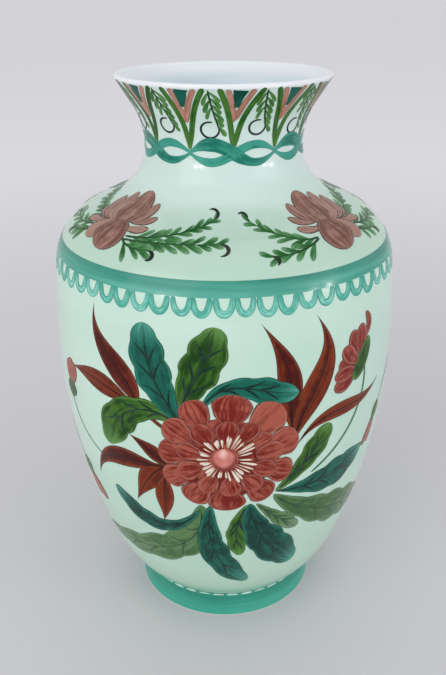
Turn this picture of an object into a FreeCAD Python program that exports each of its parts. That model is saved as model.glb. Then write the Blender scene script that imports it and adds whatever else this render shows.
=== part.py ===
"""Footed vase with a flared mouth: thrown body, luted neck and foot ring, green ground coat, enamel bands.

The frame has +Z up and its origin at the middle of the foot's resting face. Sizes are in millimetres.
"""

import FreeCAD
import Part

import math
import os

import Sketcher
from FreeCAD import Vector

FULL_TURN = 360.0

# (alias, value, what it is)
DIMENSIONS = [
    ("total_height", 360.0, "foot to lip"),
    ("mouth_radius", 65.9, "outside of the lip, before its edges are rounded"),
    ("throat_radius", 48.0, "narrowest place of the neck, outside"),
    ("throat_height", 320.0, "height of the narrowest place"),
    ("belly_radius", 109.4, "widest place of the body, outside"),
    ("belly_height", 200.0, "height of the widest place"),
    ("crease_radius", 59.5, "where the body meets the foot"),
    ("crease_height", 18.0, "top of the foot ring"),
    ("shoulder_start", 250.0, "height where the shoulder begins to turn in"),
    ("undercut_arc", 96.0, "radius of the arc above the crease"),
    ("lower_arc", 425.0, "radius of the long arc below the belly"),
    ("upper_arc", 480.0, "radius of the long arc above the belly"),
    ("shoulder_arc", 40.0, "radius of the shoulder's turn"),
    ("neck_arc", 33.0, "radius of the hollow below the throat"),
    ("flare_arc", 42.0, "radius of the hollow above the throat"),
    ("wall", 3.7, "porcelain wall under the coat"),
    ("coat", 0.3, "green ground coat"),
    ("enamel", 0.25, "painted enamel, standing on the coat"),
    ("floor_thickness", 6.0, "floor of the body"),
    ("floor_spread", 2.5, "how far the floor's upper face runs out into the wall"),
    ("cove", 9.0, "round between the floor and the wall, inside"),
    ("lip_outer_round", 1.5, "round on the lip's outer edge"),
    ("lip_inner_round", 3.2, "round on the lip's inner edge"),
    ("neck_joint", 290.0, "height of the joint between body and neck"),
    ("coat_end", 357.4, "height where the coat stops and the white lip begins"),
    ("band_bottom", 257.0, "lower edge of the shoulder band"),
    ("band_top", 265.4, "upper edge of the shoulder band"),
    ("foot_radius", 61.8, "outside of the foot at its toe"),
    ("foot_hollow", 70.0, "radius of the hollow down the foot's side"),
    ("foot_inner", 51.0, "inside of the foot ring at the top"),
    ("foot_splay", 2.0, "how much wider the ring is inside at the bottom"),
    ("toe_height", 1.4, "height of the upright toe below the hollow side"),
    ("toe_round", 1.0, "round on both edges of the resting face"),
]


def make_sheet(doc):
    """The driving dimensions, one row each: name, value and meaning."""
    sheet = doc.addObject("Spreadsheet::Sheet", "Sizes")
    for row, (alias, value, meaning) in enumerate(DIMENSIONS, start=1):
        sheet.set(f"A{row}", alias)
        sheet.set(f"B{row}", str(value))
        sheet.set(f"C{row}", meaning)
        sheet.setAlias(f"B{row}", alias)
    doc.recompute()
    return sheet


def circle_meeting(centre_a, radius_a, centre_b, radius_b):
    """The point at radius_a from one centre and radius_b from the other, to the left of the way to it."""
    gap = centre_b - centre_a
    along = (radius_a**2 - radius_b**2 + gap.Length**2) / (2 * gap.Length)
    across = math.sqrt(radius_a**2 - along**2)
    ahead = Vector(gap).normalize()
    left = Vector(-ahead.y, ahead.x, 0)
    return centre_a + ahead * along + left * across


def toward(centre, target, radius):
    """The point at that radius from centre, on the way to target."""
    return centre + (target - centre).normalize() * radius


def arc_between(centre, start, end):
    """The arc about centre that runs anticlockwise from start to end."""
    begin, finish = (math.atan2(p.y - centre.y, p.x - centre.x) for p in (start, end))
    if finish < begin:
        finish += 2 * math.pi
    circle = Part.Circle(centre, Vector(0, 0, 1), (start - centre).Length)
    return Part.ArcOfCircle(circle, begin, finish)


def cross_tangent(centre_a, radius_a, centre_b, radius_b):
    """The two ends of the line that touches circle a on its right and then circle b on its left."""
    gap = centre_b - centre_a
    lean = math.atan2(gap.y, gap.x) + math.asin((radius_a + radius_b) / gap.Length)
    outward = Vector(math.sin(lean), -math.cos(lean), 0)
    return centre_a + outward * radius_a, centre_b - outward * radius_b


def bind(sketch, name, constraint, alias):
    """Adds a dimension to the sketch and ties it to a cell of the sheet."""
    index = sketch.addConstraint(constraint)
    sketch.renameConstraint(index, name)
    sketch.setExpression(f"Constraints.{name}", f"Sizes.{alias}")


def outline_points(sheet):
    """Centres and joints of the outline, worked out from the sheet as the sketch's starting place."""
    get = sheet.get
    belly = Vector(get("belly_radius"), get("belly_height"), 0)
    throat = Vector(get("throat_radius"), get("throat_height"), 0)
    crease = Vector(get("crease_radius"), get("crease_height"), 0)
    mouth = Vector(get("mouth_radius"), get("total_height"), 0)
    lower, upper = belly - Vector(get("lower_arc"), 0, 0), belly - Vector(get("upper_arc"), 0, 0)
    neck, flare = throat + Vector(get("neck_arc"), 0, 0), throat + Vector(get("flare_arc"), 0, 0)
    undercut = circle_meeting(
        lower, get("lower_arc") - get("undercut_arc"), crease, get("undercut_arc")
    )
    lower_joint = toward(lower, undercut, get("lower_arc"))
    rise = get("shoulder_start") - get("belly_height")
    run = math.sqrt(get("upper_arc") ** 2 - rise**2)
    upper_joint = upper + Vector(run, rise, 0)
    shoulder = toward(upper_joint, upper, get("shoulder_arc"))
    slope_low, slope_high = cross_tangent(
        shoulder, get("shoulder_arc"), neck, get("neck_arc")
    )
    reach = mouth - flare
    turn = math.acos(get("flare_arc") / reach.Length)
    heading = math.atan2(reach.y, reach.x) + turn
    flare_joint = flare + Vector(math.cos(heading), math.sin(heading), 0) * get("flare_arc")
    centres = [undercut, lower, upper, shoulder, neck, flare]
    joints = [crease, lower_joint, belly, upper_joint, slope_low, slope_high, throat, flare_joint, mouth]
    return centres, joints


def draw_outline(doc, sheet):
    """The outside of the vase above the foot, as tangent arcs and lines from the crease up to the lip."""
    sketch = doc.addObject("Sketcher::SketchObject", "Outline")
    sketch.Placement = FreeCAD.Placement(Vector(), FreeCAD.Rotation(Vector(1, 0, 0), 90))
    centres, joints = outline_points(sheet)
    undercut, lower, upper, shoulder, neck, flare = centres
    crease, lower_joint, belly, upper_joint, slope_low, slope_high, throat, flare_joint, mouth = joints
    first, last = 1, 2  # ends of a sketch element
    chain = [  # element, its lower end, its upper end
        (arc_between(undercut, crease, lower_joint), first, last),
        (arc_between(lower, lower_joint, belly), first, last),
        (arc_between(upper, belly, upper_joint), first, last),
        (arc_between(shoulder, upper_joint, slope_low), first, last),
        (Part.LineSegment(slope_low, slope_high), first, last),
        (arc_between(neck, throat, slope_high), last, first),
        (arc_between(flare, flare_joint, throat), last, first),
        (Part.LineSegment(flare_joint, mouth), first, last),
    ]
    ids = [sketch.addGeometry(element, False) for element, _, _ in chain]
    for below in range(len(chain) - 1):
        sketch.addConstraint(
            Sketcher.Constraint(
                "Tangent", ids[below], chain[below][2], ids[below + 1], chain[below + 1][1]
            )
        )
    origin, centre = (-1, 1), 3
    arcs = {
        0: "undercut_arc",
        1: "lower_arc",
        2: "upper_arc",
        3: "shoulder_arc",
        5: "neck_arc",
        6: "flare_arc",
    }
    for index, alias in arcs.items():
        radius = sheet.get(alias)
        bind(sketch, alias, Sketcher.Constraint("Radius", ids[index], radius), alias)
    places = [  # element, end, alias of its radius, alias of its height
        (0, first, "crease_radius", "crease_height"),
        (1, last, "belly_radius", "belly_height"),
        (6, last, "throat_radius", "throat_height"),
        (7, last, "mouth_radius", "total_height"),
    ]
    for index, end, radius, height in places:
        for kind, alias in (("DistanceX", radius), ("DistanceY", height)):
            constraint = Sketcher.Constraint(kind, *origin, ids[index], end, sheet.get(alias))
            bind(sketch, alias, constraint, alias)
    level = Sketcher.Constraint("DistanceY", *origin, ids[1], centre, sheet.get("belly_height"))
    bind(sketch, "belly_level", level, "belly_height")
    level = Sketcher.Constraint("DistanceY", *origin, ids[6], centre, sheet.get("throat_height"))
    bind(sketch, "throat_level", level, "throat_height")
    start = Sketcher.Constraint("DistanceY", *origin, ids[3], first, sheet.get("shoulder_start"))
    bind(sketch, "shoulder_start", start, "shoulder_start")
    doc.recompute()
    return sketch


def layer(doc, outline, name, offset):
    """A revolved skin between a line and its offset, which lies to the left of the line's way if positive."""
    section = doc.addObject("Part::Offset2D", name + "Section")
    section.Source = outline
    section.Mode = "Skin"
    section.Fill = True
    section.setExpression("Value", offset)
    skin = doc.addObject("Part::Revolution", name + "Skin")
    skin.Source = section
    skin.Axis = Vector(0, 0, 1)
    skin.Base = Vector()
    skin.Angle = FULL_TURN
    return skin


def slab(doc, name, low, high):
    """A disc wider than the vase, from one height to another, that keeps what lies between them."""
    disc = doc.addObject("Part::Cylinder", name)
    disc.setExpression("Radius", "Sizes.belly_radius * 2")
    disc.setExpression("Height", f"{high} - {low}")
    disc.setExpression("Placement.Base.z", low)
    return disc


def combine(doc, kind, name, base, tool):
    """Part::Cut, Part::Fuse or Part::Common of two objects."""
    made = doc.addObject(kind, name)
    made.Base = base
    made.Tool = tool
    return made


def round_edges(doc, name, base, radius, chosen):
    """Part::Fillet on the edges of base that chosen() picks."""
    doc.recompute()
    fillet = doc.addObject("Part::Fillet", name)
    fillet.Base = base
    edges = enumerate(base.Shape.Edges, start=1)
    fillet.Edges = [(index, radius, radius) for index, edge in edges if chosen(edge)]
    return fillet


def level_edge(edge, height, slack=0.01):
    """True for an edge that lies all at that height."""
    return abs(edge.BoundBox.ZMin - height) < slack and abs(edge.BoundBox.ZMax - height) < slack


def make_porcelain(doc, sheet, outline, coat):
    """The white ware of body and neck: one wall with its floor, rebated for the coat, its edges rounded."""
    get = sheet.get
    top, floor_level = get("total_height"), get("crease_height") + get("floor_thickness")
    skin = layer(doc, outline, "Shell", "Sizes.wall + Sizes.coat")
    below_top = slab(doc, "BelowTop", "0", "Sizes.total_height")
    level_shell = combine(doc, "Part::Common", "LevelShell", skin, below_top)
    outer_lip = round_edges(
        doc, "OuterLip", level_shell, get("lip_outer_round"),
        lambda edge: level_edge(edge, top) and edge.BoundBox.XMax > get("mouth_radius") - 1,
    )
    lip_middle = get("mouth_radius") - get("wall")
    lip = round_edges(
        doc, "InnerLip", outer_lip, get("lip_inner_round"),
        lambda edge: level_edge(edge, top) and edge.BoundBox.XMax < lip_middle,
    )
    floor = doc.addObject("Part::Cone", "Floor")
    floor.setExpression("Radius1", "Sizes.crease_radius")
    floor.setExpression("Radius2", "Sizes.crease_radius + Sizes.floor_spread")
    floor.setExpression("Height", "Sizes.floor_thickness")
    floor.setExpression("Placement.Base.z", "Sizes.crease_height")
    floored = combine(doc, "Part::Fuse", "FlooredShell", lip, floor)
    coved = round_edges(
        doc, "CovedShell", floored, get("cove"), lambda edge: level_edge(edge, floor_level)
    )
    return combine(doc, "Part::Cut", "Porcelain", coved, coat)


def foot_side(sheet):
    """The arc down the foot's hollow side, from the crease to the toe."""
    get = sheet.get
    crease = Vector(get("crease_radius"), get("crease_height"), 0)
    toe = Vector(get("foot_radius"), get("toe_height"), 0)
    hollow = circle_meeting(crease, get("foot_hollow"), toe, get("foot_hollow"))
    return arc_between(hollow, crease, toe)


def bind_foot_side(sketch, sheet, side):
    """Ties that arc's radius and both its ends to the sheet."""
    get = sheet.get
    hollow = Sketcher.Constraint("Radius", side, get("foot_hollow"))
    bind(sketch, "foot_hollow", hollow, "foot_hollow")
    ends = {1: ("crease_radius", "crease_height"), 2: ("foot_radius", "toe_height")}
    for end, aliases in ends.items():
        for kind, alias in zip(("DistanceX", "DistanceY"), aliases):
            bind(sketch, alias, Sketcher.Constraint(kind, -1, 1, side, end, get(alias)), alias)


def make_foot(doc, sheet):
    """The foot ring: hollow outer side, upright toe, narrow resting face, splayed inside."""
    get = sheet.get
    body = doc.addObject("PartDesign::Body", "FootRing")
    sketch = body.newObject("Sketcher::SketchObject", "FootSection")
    planes = {feature.Role: feature for feature in body.Origin.OriginFeatures}
    sketch.AttachmentSupport = [(planes["XZ_Plane"], "")]
    sketch.MapMode = "FlatFace"
    crease = Vector(get("crease_radius"), get("crease_height"), 0)
    toe = Vector(get("foot_radius"), get("toe_height"), 0)
    sole = Vector(get("foot_radius"), 0, 0)
    heel = Vector(get("foot_inner") + get("foot_splay"), 0, 0)
    inner = Vector(get("foot_inner"), get("crease_height"), 0)
    first, last = 1, 2
    side = sketch.addGeometry(foot_side(sheet), False)
    ends = [toe, sole, heel, inner, crease]
    lines = [
        sketch.addGeometry(Part.LineSegment(ends[k], ends[k + 1]), False)
        for k in range(len(ends) - 1)
    ]
    loop = [side] + lines
    for k, element in enumerate(loop):
        following = loop[(k + 1) % len(loop)]
        sketch.addConstraint(Sketcher.Constraint("Coincident", element, last, following, first))
    toe_line, sole_line, inner_line, top_line = lines
    sketch.addConstraint(Sketcher.Constraint("Vertical", toe_line))
    sketch.addConstraint(Sketcher.Constraint("Horizontal", sole_line))
    sketch.addConstraint(Sketcher.Constraint("Horizontal", top_line))
    sketch.addConstraint(Sketcher.Constraint("PointOnObject", sole_line, first, -1))
    bind_foot_side(sketch, sheet, side)
    inner_edge = Sketcher.Constraint("DistanceX", -1, 1, top_line, first, get("foot_inner"))
    bind(sketch, "foot_inner", inner_edge, "foot_inner")
    splay = Sketcher.Constraint("DistanceX", inner_line, last, inner_line, first, get("foot_splay"))
    bind(sketch, "foot_splay", splay, "foot_splay")
    ring = body.newObject("PartDesign::Revolution", "Ring")
    ring.Profile = sketch
    ring.ReferenceAxis = (sketch, ["V_Axis"])
    ring.Angle = FULL_TURN
    doc.recompute()
    rounded = body.newObject("PartDesign::Fillet", "RestingEdges")
    edges = enumerate(ring.Shape.Edges, start=1)
    rounded.Base = (ring, [f"Edge{index}" for index, edge in edges if level_edge(edge, 0)])
    rounded.setExpression("Radius", "Sizes.toe_round")
    return body


def make_foot_band(doc, sheet):
    """The enamel down the foot's hollow side, from the crease to the toe."""
    sketch = doc.addObject("Sketcher::SketchObject", "FootSide")
    sketch.Placement = FreeCAD.Placement(Vector(), FreeCAD.Rotation(Vector(1, 0, 0), 90))
    bind_foot_side(sketch, sheet, sketch.addGeometry(foot_side(sheet), False))
    skin = layer(doc, sketch, "FootBand", "Sizes.enamel")
    zone = slab(doc, "FootZone", "Sizes.toe_height", "Sizes.crease_height")
    return combine(doc, "Part::Common", "FootEnamel", skin, zone)


def make_vase(doc):
    """Builds every sub-part and returns them by node name."""
    sheet = make_sheet(doc)
    outline = draw_outline(doc, sheet)
    coat_skin = layer(doc, outline, "Coat", "Sizes.coat")
    below_lip = slab(doc, "BelowLip", "0", "Sizes.coat_end")
    coat = combine(doc, "Part::Common", "WholeCoat", coat_skin, below_lip)
    ware = make_porcelain(doc, sheet, outline, coat)
    body_zone = slab(doc, "BodyZone", "0", "Sizes.neck_joint")
    neck_zone = slab(doc, "NeckZone", "Sizes.neck_joint", "Sizes.total_height")
    band_skin = layer(doc, outline, "Band", "-Sizes.enamel")
    band_zone = slab(doc, "BandZone", "Sizes.band_bottom", "Sizes.band_top")
    return {
        "body": combine(doc, "Part::Common", "Body", ware, body_zone),
        "neck": combine(doc, "Part::Common", "Neck", ware, neck_zone),
        "foot_ring": make_foot(doc, sheet),
        "body_coat": combine(doc, "Part::Common", "BodyCoat", coat, body_zone),
        "neck_coat": combine(doc, "Part::Common", "NeckCoat", coat, neck_zone),
        "shoulder_band": combine(doc, "Part::Common", "ShoulderBand", band_skin, band_zone),
        "foot_band": make_foot_band(doc, sheet),
    }


def check(doc, parts):
    """Stops the macro if any object failed, or a sub-part isn't one valid solid."""
    failed = [o.Name for o in doc.Objects if {"Invalid", "Error"} & set(o.State)]
    if failed:
        raise RuntimeError(f"these objects failed: {failed}")
    for name, part in parts.items():
        shape = part.Shape
        if shape.isNull() or not shape.isValid() or len(shape.Solids) != 1:
            raise RuntimeError(f"{name} is not one valid solid")
        print(f"{name}: {shape.Volume:.0f} mm3")


def main():
    doc = FreeCAD.newDocument("Vase")
    parts = make_vase(doc)
    for name, part in parts.items():
        part.Label = name
    doc.recompute()
    check(doc, parts)
    os.makedirs("parts", exist_ok=True)
    for name, part in parts.items():
        part.Shape.exportStep(os.path.join("parts", name + ".step"))


main()
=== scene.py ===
import bisect
import math
import random

import bpy
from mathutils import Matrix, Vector
from mathutils.bvhtree import BVHTree


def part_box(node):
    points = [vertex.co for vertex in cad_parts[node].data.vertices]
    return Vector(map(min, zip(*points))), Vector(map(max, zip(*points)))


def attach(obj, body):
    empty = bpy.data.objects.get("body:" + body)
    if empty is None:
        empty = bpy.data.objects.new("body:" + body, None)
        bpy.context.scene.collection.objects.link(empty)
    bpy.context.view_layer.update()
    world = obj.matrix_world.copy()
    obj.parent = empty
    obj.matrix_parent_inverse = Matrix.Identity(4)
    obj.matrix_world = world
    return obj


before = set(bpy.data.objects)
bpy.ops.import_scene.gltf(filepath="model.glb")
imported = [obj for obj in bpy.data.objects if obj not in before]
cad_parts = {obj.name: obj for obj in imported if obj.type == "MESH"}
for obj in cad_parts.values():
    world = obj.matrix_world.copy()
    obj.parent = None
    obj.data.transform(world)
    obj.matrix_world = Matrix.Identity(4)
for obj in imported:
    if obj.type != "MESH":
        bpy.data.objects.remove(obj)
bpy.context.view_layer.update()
random.seed(11)
mm = 0.001

viewpoint = {"place": (0, -0.4996, 0.4115), "down": 24.18, "roll": 0.26, "lens": 43.0, "sensor": 36}


def addCamera():
    camera = bpy.data.objects.new("camera", bpy.data.cameras.new("camera"))
    bpy.context.scene.collection.objects.link(camera)
    camera.location = viewpoint["place"]
    camera.rotation_euler = (math.radians(90 - viewpoint["down"]), math.radians(viewpoint["roll"]), 0)
    camera.data.lens = viewpoint["lens"]
    camera.data.sensor_width = viewpoint["sensor"]
    camera.data.clip_start = 0.01
    bpy.context.scene.camera = camera


studio = {
    "lights": [  # name, degrees right of the front, degrees up, metres away, size, watts, colour
        ("window", -42, 20, 3.3, 2.6, 28, (1.0, 0.985, 0.97)),
        ("fill", 60, 13, 3.0, 2.0, 12, (0.95, 0.97, 1.0)),
        ("overhead", 0, 88, 2.4, 2.0, 2, (1.0, 1.0, 1.0)),
        ("lampFarLeft", -39, 11, 2.0, 0.07, 1.6, (1.0, 0.98, 0.95)),
        ("lampLeft", -31, 11, 2.0, 0.07, 1.6, (1.0, 0.98, 0.95)),
        ("lampRight", 58, 9, 2.0, 0.07, 1.6, (1.0, 0.98, 0.95)),
        ("lampFarRight", 69, 9, 2.0, 0.07, 1.6, (1.0, 0.98, 0.95)),
    ],
    "aim": (0, 0, 0.24),
    "sky": (0.98, 0.98, 1.0),
    "skyStrength": 0.74,
    "floorColours": [(209, 208, 211), (214, 213, 216)],
    "farFloorColour": (240, 239, 242),
    "floorFade": (0.3, 1.6),  # metres from the vase where the far colour starts and is full
    "floorRadius": 40,
}


def addLights():
    centre = Vector(studio["aim"])
    for name, right, up, away, size, watts, colour in studio["lights"]:
        turn, tilt = math.radians(right), math.radians(up)
        level = math.cos(tilt)
        outward = Vector((math.sin(turn) * level, -math.cos(turn) * level, math.sin(tilt)))
        data = bpy.data.lights.new(name, "AREA")
        data.size = size
        data.energy = watts
        data.color = colour
        light = bpy.data.objects.new(name, data)
        bpy.context.scene.collection.objects.link(light)
        light.location = centre + outward * away
        light.rotation_euler = (-outward).to_track_quat("-Z", "Y").to_euler()
    world = bpy.data.worlds.new("studio")
    world.use_nodes = True
    background = world.node_tree.nodes["Background"]
    background.inputs["Color"].default_value = (*studio["sky"], 1)
    background.inputs["Strength"].default_value = studio["skyStrength"]
    bpy.context.scene.world = world
    bpy.context.scene.view_settings.view_transform = "Standard"


addCamera()
addLights()
print("camera and lights are up")


def paint(red, green, blue):
    # a colour as it looks on a screen, 0 to 255, turned into the linear numbers that shaders use
    def linear(channel):
        part = channel / 255
        return part / 12.92 if part <= 0.04045 else ((part + 0.055) / 1.055) ** 2.4

    return (linear(red), linear(green), linear(blue), 1)


def addNode(tree, kind, **settings):
    node = tree.nodes.new(kind)
    for name, value in settings.items():
        setattr(node, name, value)
    return node


def feed(tree, socket, source):
    # links a socket, or sets a number or a colour
    if isinstance(source, bpy.types.NodeSocket):
        tree.links.new(source, socket)
    else:
        socket.default_value = source


def calc(tree, operation, *sources):
    node = addNode(tree, "ShaderNodeMath", operation=operation)
    for socket, source in zip(node.inputs, sources):
        feed(tree, socket, source)
    return node.outputs[0]


def smooth(tree, value, low, high, start=0.0, end=1.0):
    # goes softly from start to end while value goes from low to high
    node = addNode(tree, "ShaderNodeMapRange", interpolation_type="SMOOTHSTEP")
    for socket, source in zip(node.inputs, (value, low, high, start, end)):
        feed(tree, socket, source)
    return node.outputs[0]


def mixColours(tree, factor, first, second):
    node = addNode(tree, "ShaderNodeMix", data_type="RGBA")
    feed(tree, node.inputs[0], factor)
    feed(tree, node.inputs[6], first)
    feed(tree, node.inputs[7], second)
    return node.outputs[2]


def noise(tree, vector, scale, detail=2.0):
    node = addNode(tree, "ShaderNodeTexNoise")
    feed(tree, node.inputs["Vector"], vector)
    node.inputs["Scale"].default_value = scale
    node.inputs["Detail"].default_value = detail
    return node.outputs[0]


def stretched(tree, vector, scale, shift=None):
    # the vector times a scale for each axis, moved along Z by shift
    node = addNode(tree, "ShaderNodeVectorMath", operation="MULTIPLY")
    feed(tree, node.inputs[0], vector)
    node.inputs[1].default_value = scale
    if shift is None:
        return node.outputs[0]
    move = addNode(tree, "ShaderNodeCombineXYZ")
    feed(tree, move.inputs["Z"], shift)
    total = addNode(tree, "ShaderNodeVectorMath", operation="ADD")
    tree.links.new(node.outputs[0], total.inputs[0])
    tree.links.new(move.outputs[0], total.inputs[1])
    return total.outputs[0]


def newMaterial(name):
    material = bpy.data.materials.new(name)
    material.use_nodes = True
    tree = material.node_tree
    return material, tree, tree.nodes["Principled BSDF"]


def addBump(tree, shader, height, distance, strength=1.0):
    bump = addNode(tree, "ShaderNodeBump")
    bump.inputs["Distance"].default_value = distance
    bump.inputs["Strength"].default_value = strength
    tree.links.new(height, bump.inputs["Height"])
    tree.links.new(bump.outputs[0], shader.inputs["Normal"])


def objectPlace(tree):
    return addNode(tree, "ShaderNodeTexCoord").outputs["Object"]


def buildBrushMarks():
    # masks that follow a brush stroke: its outline, the streaks left by the hairs, and how near its edge is
    group = bpy.data.node_groups.new("brushMarks", "ShaderNodeTree")
    inputs = [
        ("Stroke", "NodeSocketVector"),  # millimetres along, millimetres across, half the width
        ("Across", "NodeSocketFloat"),  # 0 at one side of the stroke, 1 at the other
        ("Tone", "NodeSocketFloat"),
        ("Outline Width", "NodeSocketFloat"),
        ("Hairs", "NodeSocketFloat"),
        ("Hair Length", "NodeSocketFloat"),
    ]
    outputs = ["Outline", "Streaks", "Fine Hairs", "Edge", "Patches"]
    for name, kind in inputs:
        group.interface.new_socket(name, in_out="INPUT", socket_type=kind)
    for name in outputs:
        group.interface.new_socket(name, in_out="OUTPUT", socket_type="NodeSocketFloat")
    source = addNode(group, "NodeGroupInput").outputs
    result = addNode(group, "NodeGroupOutput").inputs
    parts = addNode(group, "ShaderNodeSeparateXYZ")
    group.links.new(source["Stroke"], parts.inputs[0])
    along, across, half = parts.outputs
    edge = calc(group, "SUBTRACT", half, calc(group, "ABSOLUTE", across))
    shift = calc(group, "MULTIPLY", source["Tone"], 37.0)  # so that no two strokes have the same marks
    wander = noise(group, stretched(group, source["Stroke"], (1, 1, 0), shift), 0.16, 3)
    width = calc(group, "MULTIPLY", source["Outline Width"], smooth(group, wander, 0.35, 0.6, 0.1, 1.0))
    inner, outer = calc(group, "MULTIPLY", width, 0.5), calc(group, "MULTIPLY", width, 1.5)
    outline = smooth(group, edge, inner, outer, 1.0, 0.0)
    place = addNode(group, "ShaderNodeCombineXYZ")
    group.links.new(calc(group, "DIVIDE", along, source["Hair Length"]), place.inputs["X"])
    group.links.new(calc(group, "MULTIPLY", source["Across"], source["Hairs"]), place.inputs["Y"])
    group.links.new(shift, place.inputs["Z"])
    streaks = smooth(group, noise(group, place.outputs[0], 1.0, 3), 0.3, 0.7)
    fine = noise(group, stretched(group, place.outputs[0], (1.3, 2.6, 1)), 1.0, 2)
    hairs = smooth(group, fine, 0.54, 0.68)
    patches = smooth(group, wander, 0.3, 0.7)
    for name, value in zip(outputs, (outline, streaks, hairs, edge, patches)):
        group.links.new(value, result[name])
    return group


brushMarks = buildBrushMarks()

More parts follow.
